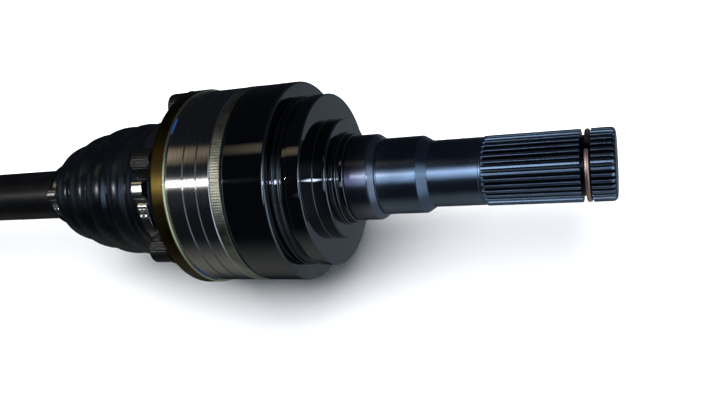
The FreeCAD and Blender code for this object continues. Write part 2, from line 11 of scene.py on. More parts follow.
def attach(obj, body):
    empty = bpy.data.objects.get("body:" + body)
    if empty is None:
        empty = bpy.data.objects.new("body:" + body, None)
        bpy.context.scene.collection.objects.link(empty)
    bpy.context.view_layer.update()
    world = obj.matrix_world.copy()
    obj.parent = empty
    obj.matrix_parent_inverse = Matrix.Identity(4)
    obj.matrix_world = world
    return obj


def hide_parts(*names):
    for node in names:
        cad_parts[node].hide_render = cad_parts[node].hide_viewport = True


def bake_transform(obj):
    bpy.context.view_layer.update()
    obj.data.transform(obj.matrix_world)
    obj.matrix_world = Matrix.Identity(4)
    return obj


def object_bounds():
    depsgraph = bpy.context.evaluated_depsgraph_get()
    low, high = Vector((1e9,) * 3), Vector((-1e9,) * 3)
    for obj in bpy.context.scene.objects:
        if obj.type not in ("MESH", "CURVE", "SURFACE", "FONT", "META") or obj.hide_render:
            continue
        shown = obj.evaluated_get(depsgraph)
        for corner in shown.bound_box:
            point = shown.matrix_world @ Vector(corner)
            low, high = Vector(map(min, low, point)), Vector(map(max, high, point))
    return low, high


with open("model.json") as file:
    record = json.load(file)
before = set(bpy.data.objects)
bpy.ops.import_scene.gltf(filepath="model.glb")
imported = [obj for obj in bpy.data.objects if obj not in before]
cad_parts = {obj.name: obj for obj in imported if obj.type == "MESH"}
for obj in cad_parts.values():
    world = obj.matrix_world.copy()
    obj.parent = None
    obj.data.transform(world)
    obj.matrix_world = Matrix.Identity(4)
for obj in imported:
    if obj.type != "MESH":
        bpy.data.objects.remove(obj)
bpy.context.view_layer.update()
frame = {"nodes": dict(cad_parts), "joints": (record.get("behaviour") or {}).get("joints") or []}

# Lengths are in millimetres from a joint's centre, outwards, unless a line says otherwise.
MM = 0.001
SIDES = ("diff", "wheel")
JOINTS = {joint["name"]: joint for joint in frame["joints"]}
NODES = frame["nodes"]
DIFF_CENTRE = Vector(JOINTS["diff_swing_sideways"]["pos_m"])     # metres, in the axle's frame

BOLTS = 6
BOLT_CIRCLE = 47.0                  # radius
BOLT_TURN = math.radians(18.0)      # first bolt, from the vertical towards -Y
EAR_TURN = math.radians(35.0)       # the boot clamps' ears, likewise
POCKET = 42.0                       # radius of the round pocket in each stub's flange
FLANGE_FACE = 21.7                  # where the stub flanges meet the end caps
FLANGE_EDGE = 46.7                  # the gearbox flange's outer face
DIFF_BOSS_END = 74.7
SPLINE_START, SPLINE_END = 143.2, 203.6
SPLINE_ROOT, SPLINE_TOP = 16.15, 17.4
SPLINE_TEETH = 35
RIM_EDGE = -10.4                    # the boot flange's rim, over the race
RACE_RADIUS = 54.15
BAR_FIT, NECK_FIT = 15.45, 37.45    # inside of the boot on the bar and on the boot flange's neck
WALL = 2.6                          # the boot's wall


# ---------------------------------------------------------------- placing and meshes

def placed(side, turn=0.0):
    """From a joint's own frame (mm, X outwards, bolts counted from +Z) to the axle's frame (m)."""
    centre = Vector(JOINTS[f"{side}_swing_sideways"]["pos_m"])
    if side == "diff":
        rotation = Matrix.Rotation(turn, 4, "X")
    else:
        rotation = Matrix.Rotation(math.pi, 4, "Z") @ Matrix.Rotation(-turn, 4, "X")
    return Matrix.Translation(centre) @ rotation @ Matrix.Scale(MM, 4)


def in_scene(thing):
    """Puts an object in the scene and gives it back."""
    bpy.context.scene.collection.objects.link(thing)
    return thing


def add_piece(name, vertices, faces, matrix, material, sharp=40.0, weighted=True):
    """A smooth-shaded mesh piece with sharp edges kept, its place in its vertices."""
    mesh = bpy.data.meshes.new(name)
    mesh.from_pydata([matrix @ Vector(v) for v in vertices], [], faces)
    shape = bmesh.new()
    shape.from_mesh(mesh)
    bmesh.ops.remove_doubles(shape, verts=shape.verts, dist=1e-7)
    bmesh.ops.dissolve_degenerate(shape, edges=shape.edges, dist=1e-8)
    bmesh.ops.recalc_face_normals(shape, faces=shape.faces)
    shape.to_mesh(mesh)
    shape.free()
    mesh.shade_smooth()
    mesh.set_sharp_from_angle(angle=math.radians(sharp))
    mesh.materials.append(material)
    piece = in_scene(bpy.data.objects.new(name, mesh))
    if weighted:
        normals = piece.modifiers.new("even_normals", "WEIGHTED_NORMAL")
        normals.keep_sharp = True
        normals.weight = 80
    return piece


def soften(corners, closed=False, steps=4):
    """An outline with its corners rounded: corners are (along, radius) or (along, radius, rounding)."""
    points = []
    for index, corner in enumerate(corners):
        here = Vector(corner[:2])
        rounding = corner[2] if len(corner) > 2 else 0.0
        at_end = not closed and index in (0, len(corners) - 1)
        if not rounding or at_end:
            points.append(tuple(here))
            continue
        back = Vector(corners[index - 1][:2]) - here
        on = Vector(corners[(index + 1) % len(corners)][:2]) - here
        half = back.angle(on) / 2
        reach = min(rounding / math.tan(half), 0.49 * back.length, 0.49 * on.length)
        start, end = here + back.normalized() * reach, here + on.normalized() * reach
        for step in range(steps + 1):
            t = step / steps
            points.append(tuple(start * (1 - t) ** 2 + here * 2 * t * (1 - t) + end * t ** 2))
    return points


def flowing(points, steps=6):
    """A smooth curve through the points."""
    padded = [points[0], *points, points[-1]]
    curve = []
    for a, b, c, d in zip(padded, padded[1:], padded[2:], padded[3:]):
        a, b, c, d = (Vector(p) for p in (a, b, c, d))
        for step in range(steps):
            t = step / steps
            curve.append(tuple(0.5 * (2 * b + (c - a) * t + (2 * a - 5 * b + 4 * c - d) * t ** 2
                                      + (3 * b - a - 3 * c + d) * t ** 3)))
    curve.append(tuple(points[-1]))
    return curve


def around(radius, angle):
    """A point across the axle at an angle from +Z towards -Y."""
    return -radius * math.sin(angle), radius * math.cos(angle)


def spun(outline, segments=192, shape=None, closed=False, hub=0.0):
    """Vertices and faces of an outline spun about X, or about a parallel axis at height hub.

    shape(index, along, radius, angle) may return another (along, radius) for a vertex.
    """
    vertices, rings, faces = [], [], []
    for index, (along, radius) in enumerate(outline):
        ring = []
        for segment in range(1 if radius < 1e-6 else segments):
            angle = 2 * math.pi * segment / segments
            x, r = shape(index, along, radius, angle) if shape else (along, radius)
            y, z = around(r, angle)
            ring.append(len(vertices))
            vertices.append((x, y, z + hub))
        rings.append(ring)
    pairs = list(zip(rings, rings[1:]))
    if closed:
        pairs.append((rings[-1], rings[0]))
    for first, second in pairs:
        if len(first) == 1 and len(second) == 1:
            continue
        for segment in range(segments):
            after = (segment + 1) % segments
            corners = [first[segment % len(first)], first[after % len(first)],
                       second[after % len(second)], second[segment % len(second)]]
            unique = list(dict.fromkeys(corners))
            if len(unique) > 2:
                faces.append(unique)
    return vertices, faces


def tube_faces(rings, sides):
    """Faces of a tube made of equal rings of vertices, closed at both ends."""
    faces = []
    for ring in range(rings - 1):
        first, second = ring * sides, (ring + 1) * sides
        for side in range(sides):
            after = (side + 1) % sides
            faces.append([first + side, first + after, second + after, second + side])
    faces.append(list(range(sides)))
    faces.append([(rings - 1) * sides + side for side in reversed(range(sides))])
    return faces


def joined(parts):
    """Several (vertices, faces) as one."""
    vertices, faces = [], []
    for some_vertices, some_faces in parts:
        start = len(vertices)
        vertices += some_vertices
        faces += [[start + corner for corner in face] for face in some_faces]
    return vertices, faces


def round_the_bolts(part):
    """Copies of (vertices, faces) at each bolt of the circle."""
    copies = []
    for bolt in range(BOLTS):
        turn = Matrix.Rotation(2 * math.pi * bolt / BOLTS, 4, "X")
        copies.append(([tuple(turn @ Vector(v)) for v in part[0]], part[1]))
    return joined(copies)


# ---------------------------------------------------------------- materials

class Wiring:
    """A node tree under construction: nodes are added by type and wired as they are made."""

    def __init__(self, tree):
        self.tree = tree

    def set(self, node, values):
        """Links a socket to a value that is a socket, and otherwise sets it."""
        for socket, value in values.items():
            if isinstance(value, bpy.types.NodeSocket):
                self.tree.links.new(value, node.inputs[socket])
            else:
                node.inputs[socket].default_value = value

    def node(self, kind, output, values, **settings):
        """Adds a node and gives back one of its outputs."""
        node = self.tree.nodes.new(kind)
        for setting, value in settings.items():
            setattr(node, setting, value)
        self.set(node, values)
        return node.outputs[output]

    def maths(self, operation, first, second=0.0):
        """The result of a sum, product or other operation; each term is a socket or a number."""
        return self.node("ShaderNodeMath", 0, {0: first, 1: second}, operation=operation)

    def parts(self, vector):
        """A vector's outputs X, Y and Z."""
        return self.node("ShaderNodeSeparateXYZ", 0, {0: vector}).node.outputs

    def ranged(self, value, start, end, low=0.0, high=1.0, smooth=False):
        """Maps start..end onto low..high."""
        values = {"Value": value, "From Min": start, "From Max": end, "To Min": low, "To Max": high}
        kind = "SMOOTHSTEP" if smooth else "LINEAR"
        return self.node("ShaderNodeMapRange", "Result", values, interpolation_type=kind)

    def mixed(self, factor, first, second):
        """A blend of two colours, each a socket or red, green and blue."""
        mix = self.tree.nodes.new("ShaderNodeMix")
        mix.data_type = "RGBA"
        for socket, value in (("Factor", factor), ("A", first), ("B", second)):
            target = next(s for s in mix.inputs if s.name == socket and s.enabled)
            if isinstance(value, bpy.types.NodeSocket):
                self.tree.links.new(value, target)
            else:
                target.default_value = (*value, 1.0)
        return next(s for s in mix.outputs if s.enabled)


class Look(Wiring):
    """A material that varies with the place on the axle."""

    def __init__(self, name, colour, metallic, roughness):
        self.material = bpy.data.materials.new(name)
        self.material.use_nodes = True
        super().__init__(self.material.node_tree)
        self.shader = self.tree.nodes["Principled BSDF"]
        self.set(self.shader, {"Base Color": (*colour, 1.0), "Metallic": metallic, "Roughness": roughness})
        self.place = self.node("ShaderNodeTexCoord", "Object", {})
        split = self.parts(self.place)
        across = self.node("ShaderNodeCombineXYZ", "Vector", {"Y": split["Y"], "Z": split["Z"]})
        self.along = split["X"]
        self.off_axis = self.node("ShaderNodeVectorMath", "Value", {0: across}, operation="LENGTH")

    def lathe_cut(self, anisotropy):
        """Stretches highlights along the axle, across the tool's rings."""
        tangent = self.node("ShaderNodeTangent", "Tangent", {}, direction_type="RADIAL", axis="X")
        self.set(self.shader, {"Anisotropic": anisotropy, "Anisotropic Rotation": 0.25, "Tangent": tangent})

    def noise(self, scale, detail=3.0, rough=0.5, **more):
        """Cloudy noise through the whole volume, scale cells to the metre."""
        values = {"Vector": self.place, "Scale": scale, "Detail": detail, "Roughness": rough}
        values.update(more)
        return self.node("ShaderNodeTexNoise", "Fac", values)

    def rings(self, scale, detail=2.0):
        """Noise that changes only along the axle or with the radius, as a lathe tool leaves it."""
        line = self.maths("ADD", self.along, self.off_axis)
        return self.node("ShaderNodeTexNoise", "Fac", {"W": line, "Scale": scale, "Detail": detail},
                         noise_dimensions="1D")

    def spread(self, value, low, high):
        """Maps 0.3..0.7, where noise mostly lies, onto low..high."""
        return self.ranged(value, 0.3, 0.7, low, high)

    def bump(self, height, distance, strength=1.0, under=None):
        """Relief from a height, with its depth in metres, over a normal if one is given."""
        values = {"Height": height, "Distance": distance, "Strength": strength}
        if under:
            values["Normal"] = under
        return self.node("ShaderNodeBump", "Normal", values)

    def finish(self, **sockets):
        """Sets the surface's last inputs, whose names have _ for a space."""
        self.set(self.shader, {name.replace("_", " "): value for name, value in sockets.items()})
        return self.material


def turned_metal(name, dark, bright, roughness, ring_depth, anisotropy=0.75, smudge=0.03):
    """Metal cut on a lathe: fine rings round the axle that stretch a highlight along it."""
    look = Look(name, bright, 1.0, roughness)
    look.lathe_cut(anisotropy)
    cloud = look.noise(40.0, 3.0)
    colour = look.mixed(look.spread(look.rings(1100.0, 4.0), 0.0, 1.0), dark, bright)
    rough = look.spread(cloud, roughness - smudge, roughness + smudge)
    relief = look.bump(look.rings(1800.0), ring_depth)
    return look.finish(Base_Color=colour, Roughness=rough, Normal=relief)


def gloss_black(name):
    """Hard polished black with faint wipe marks."""
    look = Look(name, (0.13, 0.132, 0.14), 1.0, 0.03)
    look.lathe_cut(0.6)
    wipe = look.noise(35.0, 5.0, 0.6)
    colour = look.mixed(look.spread(wipe, 0.0, 1.0), (0.115, 0.117, 0.125), (0.15, 0.152, 0.16))
    return look.finish(Base_Color=colour, Roughness=look.spread(wipe, 0.02, 0.04),
                       Normal=look.bump(look.rings(2600.0, 3.0), 0.0000003))


def rubber(name):
    """Moulded black rubber: fine grain, a slight cloudy bloom and a satin sheen."""
    look = Look(name, (0.005, 0.0052, 0.006), 0.0, 0.3)
    # The pale blue specular tint is painted light: it colours the sheen as a cool lamp would.
    look.set(look.shader, {"Specular IOR Level": 0.45, "Specular Tint": (0.75, 0.88, 1.0, 1.0)})
    grain = look.noise(3500.0, 3.0, 0.7)
    flow = look.noise(90.0, 4.0)
    colour = look.mixed(look.spread(flow, 0.0, 1.0), (0.001, 0.0012, 0.0018), (0.002, 0.0023, 0.0032))
    return look.finish(Base_Color=colour, Roughness=look.spread(flow, 0.2, 0.3),
                       Normal=look.bump(grain, 0.00002, 0.4, look.bump(flow, 0.0003, 0.2)))


def paint(name, dark, bright, roughness):
    """Sprayed or chemical black with fine orange peel and handling marks."""
    look = Look(name, bright, 0.0, roughness)
    look.set(look.shader, {"Specular IOR Level": 0.3})
    peel = look.noise(900.0, 3.0)
    marks = look.noise(55.0, 6.0, 0.65)
    return look.finish(Base_Color=look.mixed(look.spread(marks, 0.0, 1.0), dark, bright),
                       Roughness=look.spread(marks, roughness - 0.1, roughness + 0.1),
                       Normal=look.bump(peel, 0.00006, 0.6))


def plating(name, first, second, roughness):
    """Electroplated steel: cloudy colour and a fine grain."""
    look = Look(name, first, 1.0, roughness)
    cloud = look.noise(48.0, 5.0, 0.6, Distortion=0.8)
    fine = look.noise(1800.0, 3.0)
    return look.finish(Base_Color=look.mixed(look.spread(cloud, 0.0, 1.0), first, second),
                       Roughness=look.spread(cloud, roughness - 0.07, roughness + 0.09),
                       Normal=look.bump(fine, 0.00002, 0.7))


# The stub's tint: how far along it from the flange, 0 to 1, and the colour there. The light stop at 0.12,
# over the first taper, is a painted highlight; the other stops are the hardening tint.
TINTS_AND_TAPER_HIGHLIGHT = [(0.0, (0.12, 0.09, 0.15)), (0.06, (0.15, 0.14, 0.2)), (0.12, (0.27, 0.3, 0.37)),
         (0.2, (0.17, 0.22, 0.3)), (0.45, (0.19, 0.24, 0.32)), (0.54, (0.24, 0.3, 0.4)),
         (1.0, (0.28, 0.36, 0.48))]
TINT_START, TINT_END = 72.0, 205.0


def shaft_tint_and_taper_highlight(look):
    """The colours that hardening left along the gearbox stub, with a painted highlight over its first taper.
    """
    start, end = (DIFF_CENTRE.x + place * MM for place in (TINT_START, TINT_END))
    ramp = look.node("ShaderNodeValToRGB", "Color", {"Fac": look.ranged(look.along, start, end)})
    stops = ramp.node.color_ramp.elements
    while len(stops) < len(TINTS_AND_TAPER_HIGHLIGHT):
        stops.new(0.5)
    for stop, (position, colour) in zip(stops, TINTS_AND_TAPER_HIGHLIGHT):
        stop.position = position
        stop.color = (*colour, 1.0)
    return ramp


def painted_shade_in_spline_gaps(look):
    """Painted shade: 1 at the bottom of the gearbox spline's gaps, which are darkened, and 0 on its teeth and
    elsewhere.
    """
    deep = look.ranged(look.off_axis, (SPLINE_TOP - 0.3) * MM, (SPLINE_ROOT + 0.15) * MM)
    start = DIFF_CENTRE.x + (SPLINE_START - 0.2) * MM
    return look.maths("MULTIPLY", deep, look.ranged(look.along, start, start + MM))


def tempered_shaft(name):
    """Ground and induction-hardened steel whose tint runs from violet to blue along the stub, with a painted
    highlight over the first taper and painted shade in the spline's gaps.
    """
    look = Look(name, (0.1, 0.1, 0.14), 1.0, 0.2)
    look.lathe_cut(0.7)
    clouds = look.spread(look.noise(70.0, 5.0), 0.0, 0.35)
    tint_and_highlight = look.mixed(clouds, shaft_tint_and_taper_highlight(look), (0.1, 0.1, 0.13))
    # The spline's gaps are darkened to near black: painted shade.
    return look.finish(Base_Color=look.mixed(painted_shade_in_spline_gaps(look), tint_and_highlight, (0.025, 0.028, 0.035)),
                       Roughness=look.spread(look.noise(50.0, 4.0), 0.24, 0.34),
                       Normal=look.bump(look.rings(1500.0, 4.0), 0.000002))


def make_looks():
    """One material per finish, by the record's slot names."""
    finishes = [
        (turned_metal, "bearing_steel", (0.42, 0.42, 0.43), (0.56, 0.56, 0.57), 0.22, 0.000002, 0.3),
        (turned_metal, "ball_steel", (0.58, 0.58, 0.6), (0.66, 0.66, 0.68), 0.08, 0.0, 0.0, 0.02),
        (turned_metal, "turned_steel", (0.38, 0.37, 0.36), (0.5, 0.49, 0.48), 0.17, 0.000003),
        (turned_metal, "stainless_band", (0.5, 0.5, 0.49), (0.62, 0.61, 0.59), 0.17, 0.000004, 0.4),
        (paint, "bar_black", (0.0008, 0.0008, 0.001), (0.0018, 0.0018, 0.0022), 0.36),
        (paint, "spring_steel", (0.05, 0.05, 0.05), (0.09, 0.09, 0.09), 0.35),
        (paint, "blue_sealant", (0.006, 0.024, 0.1), (0.01, 0.04, 0.17), 0.4),
        (paint, "black_oxide", (0.0012, 0.0012, 0.0014), (0.003, 0.003, 0.003), 0.3),
        (plating, "pale_zinc", (0.15, 0.145, 0.11), (0.58, 0.56, 0.44), 0.42),
        (plating, "yellow_zinc", (0.055, 0.034, 0.008), (0.095, 0.066, 0.02), 0.36),
        # The lip's pale yellow is a painted highlight along the rim's front edge.
        (plating, "cut_edge", (0.5, 0.48, 0.28), (0.6, 0.58, 0.38), 0.28),
        (plating, "copper_ring", (0.72, 0.42, 0.34), (0.82, 0.52, 0.43), 0.34),
        (rubber, "boot_rubber"), (gloss_black, "flange_black"), (tempered_shaft, "stub_steel")]
    return {name: kind(name, *values) for kind, name, *values in finishes}


LOOKS = make_looks()


def finish_piece(piece, side, nodes):
    """Makes a piece ride on its joint's housing and stand for its CAD nodes."""
    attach(piece, f"{side}_housing")
    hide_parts(*nodes)


# ---------------------------------------------------------------- gearbox stub

def sphere_arc(radius, mouth, steps=14):
    """Outline points of a round pocket from the axis to its mouth."""
    last = math.acos(mouth / radius)
    return [(radius * math.cos(last * s / steps), radius * math.sin(last * s / steps))
            for s in range(steps + 1)]


def flange_start():
    """The outline both stub flanges share: the pocket, the face and a narrow chamfer."""
    return [(FLANGE_FACE, 40.0), (FLANGE_FACE, 53.1, 0.15), (23.6, 54.0, 0.5)]


def make_diff_flange():
    """The polished black flange: a broad disc, a grooved disc, a boss and two collars."""
    disc, groove, end = 46.1, 44.9, DIFF_BOSS_END
    outline = sphere_arc(POCKET, FLANGE_FACE) + soften([
        *flange_start(), (FLANGE_EDGE, 54.0, 1.6), (FLANGE_EDGE, disc, 0.25),
        (47.2, disc, 0.2), (47.2, groove, 0.2), (49.2, groove, 0.3), (49.2, disc, 0.3), (50.0, disc, 0.3),
        (50.0, groove, 0.3), (53.7, groove, 0.8), (53.7, disc, 0.35), (61.6, disc, 0.9), (61.6, 32.2, 0.5),
        (69.1, 32.2, 1.1), (69.1, 25.0, 0.3), (71.2, 25.0, 0.6), (71.2, 23.4, 0.2), (72.2, 23.4, 0.2),
        (72.2, 24.0, 0.4), (end, 24.0, 0.6), (end, 20.0)]) + [(end, 0.0)]
    piece = add_piece("diff_stub_flange", *spun(outline, 256), placed("diff"), LOOKS["flange_black"])
    finish_piece(piece, "diff", ["diff_stub"])


def make_diff_shaft():
    """The ground shaft between the flange and the spline."""
    start, end = DIFF_BOSS_END, SPLINE_START
    outline = [(start, 0.0)] + soften([
        (start, 20.0), (start, 22.6, 0.3), (86.6, 22.6, 3.2), (89.8, 20.5, 0.5), (89.8, 19.2, 0.2),
        (90.9, 19.2, 0.2), (90.9, 19.9, 0.3), (111.5, 19.9, 1.2), (116.3, 17.0, 1.2), (141.6, 17.0, 0.2),
        (141.6, 16.6, 0.1), (142.1, 16.6, 0.1), (142.1, 16.95, 0.1), (142.8, 16.95, 0.1),
        (142.8, 16.5, 0.1), (end, 16.5, 0.1), (end, 15.0)]) + [(end, 0.0)]
    piece = add_piece("diff_stub_shaft", *spun(outline, 160), placed("diff"), LOOKS["stub_steel"])
    finish_piece(piece, "diff", ["diff_stub"])


def smooth_step(value, low, high):
    """0 below low, 1 above high, and an even rise between."""
    t = min(max((value - low) / (high - low), 0.0), 1.0)
    return t * t * (3 - 2 * t)


def tooth_height(angle, teeth):
    """How much of a spline tooth stands at an angle: 0 in the gap, 1 on the land, rounded between."""
    phase = (angle * teeth / (2 * math.pi)) % 1.0
    return smooth_step(abs(phase - 0.5), 0.13, 0.29)


def splined(start, end, root, top, teeth, tip, groove=None):
    """A toothed shaft whose slots run out at its start and whose teeth are rounded at its tip.

    A groove is its two ends and its floor's radius, and its edges are chamfered by a quarter millimetre.
    """
    chamfer = 0.25
    stations = {start, start + 0.01, start + 0.3, start + 0.7, start + 1.2}
    stations |= {end - tip * (1 - math.sin(math.pi / 2 * s / 6)) for s in range(7)}
    near, far, floor = groove or (end + 1, end + 1, 0)
    if groove:
        stations |= {near - chamfer, near - 0.08, near, near + 0.01}
        stations |= {far - 0.01, far, far + 0.08, far + chamfer}
    stations = sorted(stations)

    def limit(along):
        """The largest radius allowed at a distance."""
        into_tip = max(along - (end - tip), 0.0) / tip
        rounded = top - tip * (1 - math.sqrt(max(1 - into_tip ** 2, 0.0))) * 0.95
        if near <= along <= far:
            return min(floor, rounded)
        gap = max(near - along, along - far)
        return min(top - max(chamfer - gap, 0.0) * 0.9, rounded)

    def shape(index, along, radius, angle):
        if index in (0, len(stations) + 1):
            return along, radius
        depth = smooth_step(along, start - 0.4, start + 1.2)
        slot = (top - root) * (1 - tooth_height(angle, teeth)) * depth
        return along, min(top - slot, limit(along))

    outline = [(start, 0.0)] + [(station, top) for station in stations] + [(end, 0.0)]
    return spun(outline, teeth * 16, shape)


def make_diff_spline():
    """The spline that fits the gearbox, with its snap ring's groove."""
    vertices, faces = splined(SPLINE_START, SPLINE_END, SPLINE_ROOT, SPLINE_TOP, SPLINE_TEETH, 2.4,
                              groove=(188.2, 192.8, 14.4))
    piece = add_piece("diff_stub_spline", vertices, faces, placed("diff"), LOOKS["stub_steel"], sharp=50.0)
    finish_piece(piece, "diff", ["diff_stub"])


def make_snap_ring():
    """The split ring of flattened wire that fills its groove, its ends cut square."""
    middle, half_width, inside, outside = 191.1, 1.05, 14.5, 17.36
    gap, gap_turn, count = math.radians(29), math.radians(-5), 120
    near, far = middle - half_width, middle + half_width
    section = soften([(near, inside, 0.4), (far, inside, 0.4), (far, outside, 0.8), (near, outside, 0.8)],
                     closed=True)
    vertices = []
    for step in range(count + 1):
        angle = gap / 2 + (2 * math.pi - gap) * step / count
        vertices += [(along, *around(radius, angle)) for along, radius in section]
    piece = add_piece("diff_snap_ring_wire", vertices, tube_faces(count + 1, len(section)),
                      placed("diff", gap_turn), LOOKS["copper_ring"])
    finish_piece(piece, "diff", ["diff_snap_ring"])


# ---------------------------------------------------------------- hub stub

def hub_thread(start, end, radius, pitch=1.5, height=0.9):
    """A screw thread that fades in from its start and is chamfered at its end."""
    rings = int((end - start) / pitch * 8)
    stations = [start + (end - start) * s / rings for s in range(rings + 1)]

    def shape(index, along, outer, angle):
        if outer == 0:
            return along, outer
        phase = (along / pitch + angle / (2 * math.pi)) % 1.0
        depth = height * abs(2 * phase - 1) * smooth_step(along, start + 1.0, start + 3.0)
        into_tip = max(along - (end - 1.6), 0.0)
        return along, radius - max(depth, into_tip)

    outline = [(start, 0.0)] + [(station, radius) for station in stations] + [(end, 0.0)]
    return spun(outline, 72, shape)


def make_hub_stub():
    """Flange, boss and bearing journal, then a spline and a threaded end."""
    edge, boss_end, journal_end, neck_end, spline_end, thread_end = 41.7, 52.0, 76.0, 78.5, 108.0, 150.0
    outline = sphere_arc(POCKET, FLANGE_FACE) + soften([
        *flange_start(), (edge, 54.0, 1.6), (edge, 34.0, 1.0), (boss_end, 34.0, 1.0),
        (boss_end, 24.0, 0.3), (boss_end, 20.0)]) + [(boss_end, 0.0)]
    flange = add_piece("wheel_stub_flange", *spun(outline, 256), placed("wheel"), LOOKS["flange_black"])
    journal = [(boss_end, 0.0)] + soften([
        (boss_end, 20.0), (boss_end, 22.5, 0.2), (journal_end, 22.5, 0.9), (journal_end, 19.9, 0.4),
        (neck_end, 19.9, 0.2), (neck_end, 17.0)]) + [(neck_end, 0.0)]
    parts = [spun(journal, 160), splined(neck_end, spline_end, 18.6, 19.9, 35, 1.0),
             hub_thread(spline_end, thread_end, 12.0)]
    turned = add_piece("wheel_stub_shaft", *joined(parts), placed("wheel"), LOOKS["turned_steel"],
                       sharp=50.0)
    for piece in (flange, turned):
        finish_piece(piece, "wheel", ["wheel_stub"])


def hexagon(across_corners, angle):
    """Radius of a hexagon at an angle."""
    apothem = across_corners / 2 * math.cos(math.pi / 6)
    return apothem / math.cos((angle + math.pi / 6) % (math.pi / 3) - math.pi / 6)


def make_hub_washer():
    """A thick washer against the hub spline's end."""
    near, far, bore, rim = 108.0, 113.0, 12.1, 21.5
    washer = soften([(near, bore), (near, rim, 0.6), (far, rim, 0.6), (far, bore)], closed=True)
    piece = add_piece("wheel_hub_washer_disc", *spun(washer, 128, closed=True), placed("wheel"),
                      LOOKS["pale_zinc"])
    finish_piece(piece, "wheel", ["wheel_hub_washer"])


def make_hub_nut():
    """A hexagon nut with its corners chamfered at both ends."""
    start, height, corners, bore, chamfer = 113.0, 22.0, 41.4, 12.1, 2.4
    end = start + height
    flat = corners / 2 * math.cos(math.pi / 6) - 0.6
    rise = (corners / 2 - flat) / chamfer
    levels = [start, start + 0.02] + [start + chamfer * s / 6 for s in range(1, 7)]
    levels += [end - chamfer * s / 6 for s in range(6, 0, -1)] + [end - 0.02, end]
    outline = [(start, bore)] + [(level, 20.0) for level in levels] + [(end, bore)]

    def shape(index, along, radius, angle):
        if index in (0, len(outline) - 1):
            return along, radius
        cone = flat + min(along - start, end - along) / rise * 0.55
        return along, min(hexagon(corners, angle), cone)

    piece = add_piece("wheel_hub_nut_hexagon", *spun(outline, 144, shape, closed=True), placed("wheel"),
                      LOOKS["pale_zinc"], sharp=30.0)
    finish_piece(piece, "wheel", ["wheel_hub_nut"])


# ---------------------------------------------------------------- joint housing

def make_end_cap(side):
    """The plated cap: a rim with rolled serrations and a thin dome inside."""
    back, inside, marks, deepest = 16.0, 41.0, 240, 0.22
    inner = sphere_arc(40.2, back)
    outer = sphere_arc(41.4, FLANGE_FACE)
    rim = soften([(back, inside), (back, RACE_RADIUS, 0.35), (FLANGE_FACE, RACE_RADIUS, 0.35),
                  (FLANGE_FACE, inside)], steps=3)
    outline = inner + rim + outer[::-1]
    first, last = len(inner), len(inner) + len(rim)
    rng = random.Random(7)
    depths = [0.35 + 0.65 * rng.random() for _ in range(marks)]

    def serrated(index, along, radius, angle):
        if not first < index < last or radius < RACE_RADIUS - 0.65:
            return along, radius
        place = angle / (2 * math.pi) * marks
        depth = depths[int(place) % marks] * deepest * (1 - abs(2 * (place % 1.0) - 1)) ** 2
        return along, radius - depth * smooth_step(FLANGE_FACE - along, 0.0, 0.9)

    piece = add_piece(f"{side}_end_cap_shell", *spun(outline, marks * 4, serrated), placed(side),
                      LOOKS["pale_zinc"], sharp=60.0)
    finish_piece(piece, side, [f"{side}_end_cap"])


def make_boot_flange(side):
    """The pressed flange: a neck, a plate and a rolled rim over the race, with a lip whose pale colour is a
    painted highlight.
    """
    neck_end, plate_back, plate_front, lip_start = -43.0, -20.0, -16.6, RIM_EDGE - 1.1
    neck_in, neck_out, rim_in, rim_out = 35.9, 37.4, 54.1, 55.38
    outline = soften([
        (neck_end, neck_in, 0.4), (plate_front, neck_in, 0.2), (plate_front, rim_in, 0.6),
        (lip_start, rim_in, 0.1), (lip_start, 55.3, 0.3), (plate_back, rim_out, 2.2),
        (plate_back, neck_out, 1.6), (neck_end, neck_out, 0.5)], closed=True, steps=5)
    lip = soften([(lip_start, rim_in), (RIM_EDGE, rim_in, 0.2), (RIM_EDGE, 54.75, 0.3),
                  (RIM_EDGE - 0.7, rim_out, 0.4), (lip_start, 55.2)], closed=True)
    for name, points, look in (("pressing", outline, "yellow_zinc"), ("lip", lip, "cut_edge")):
        piece = add_piece(f"{side}_boot_flange_{name}", *spun(points, 256, closed=True),
                          placed(side, BOLT_TURN), LOOKS[look])
        finish_piece(piece, side, [f"{side}_boot_flange"])


# Where sealant was squeezed out at the rim: middle and reach, in degrees from +Z towards -Y.
BEADS = [(-1, 6), (95, 9), (109, 3), (-60, 5), (150, 5), (205, 6)]


def make_gasket(side):
    """The blue sealing ring, and short beads of it squeezed out at the rim's edge."""
    near, far, bore, edge = -16.55, -16.05, 39.5, 53.6
    section = soften([(near, bore), (near, edge, 0.2), (far, edge, 0.2), (far, bore)], closed=True)
    rng = random.Random(11)
    parts = [spun(section, 160, closed=True)]
    parts += [squeezed_bead(math.radians(middle), math.radians(reach), rng) for middle, reach in BEADS]
    piece = add_piece(f"{side}_gasket_ring", *joined(parts), placed(side), LOOKS["blue_sealant"])
    finish_piece(piece, side, [f"{side}_gasket"])


def squeezed_bead(middle, reach, rng, sides=8, steps=28):
    """A thin bead along the race's edge that tapers away at both ends."""
    vertices = []
    for step in range(steps + 1):
        angle = middle - reach + 2 * reach * step / steps
        taper = math.sin(math.pi * step / steps) ** 0.5 if 0 < step < steps else 0.02
        thick = 0.42 * taper * (0.8 + 0.4 * rng.random())
        for side in range(sides):
            turn = 2 * math.pi * side / sides
            y, z = around(RACE_RADIUS + thick * math.cos(turn), angle)
            vertices.append((RIM_EDGE + 0.3 + thick * 1.6 * math.sin(turn), y, z))
    return vertices, tube_faces(steps + 1, sides)


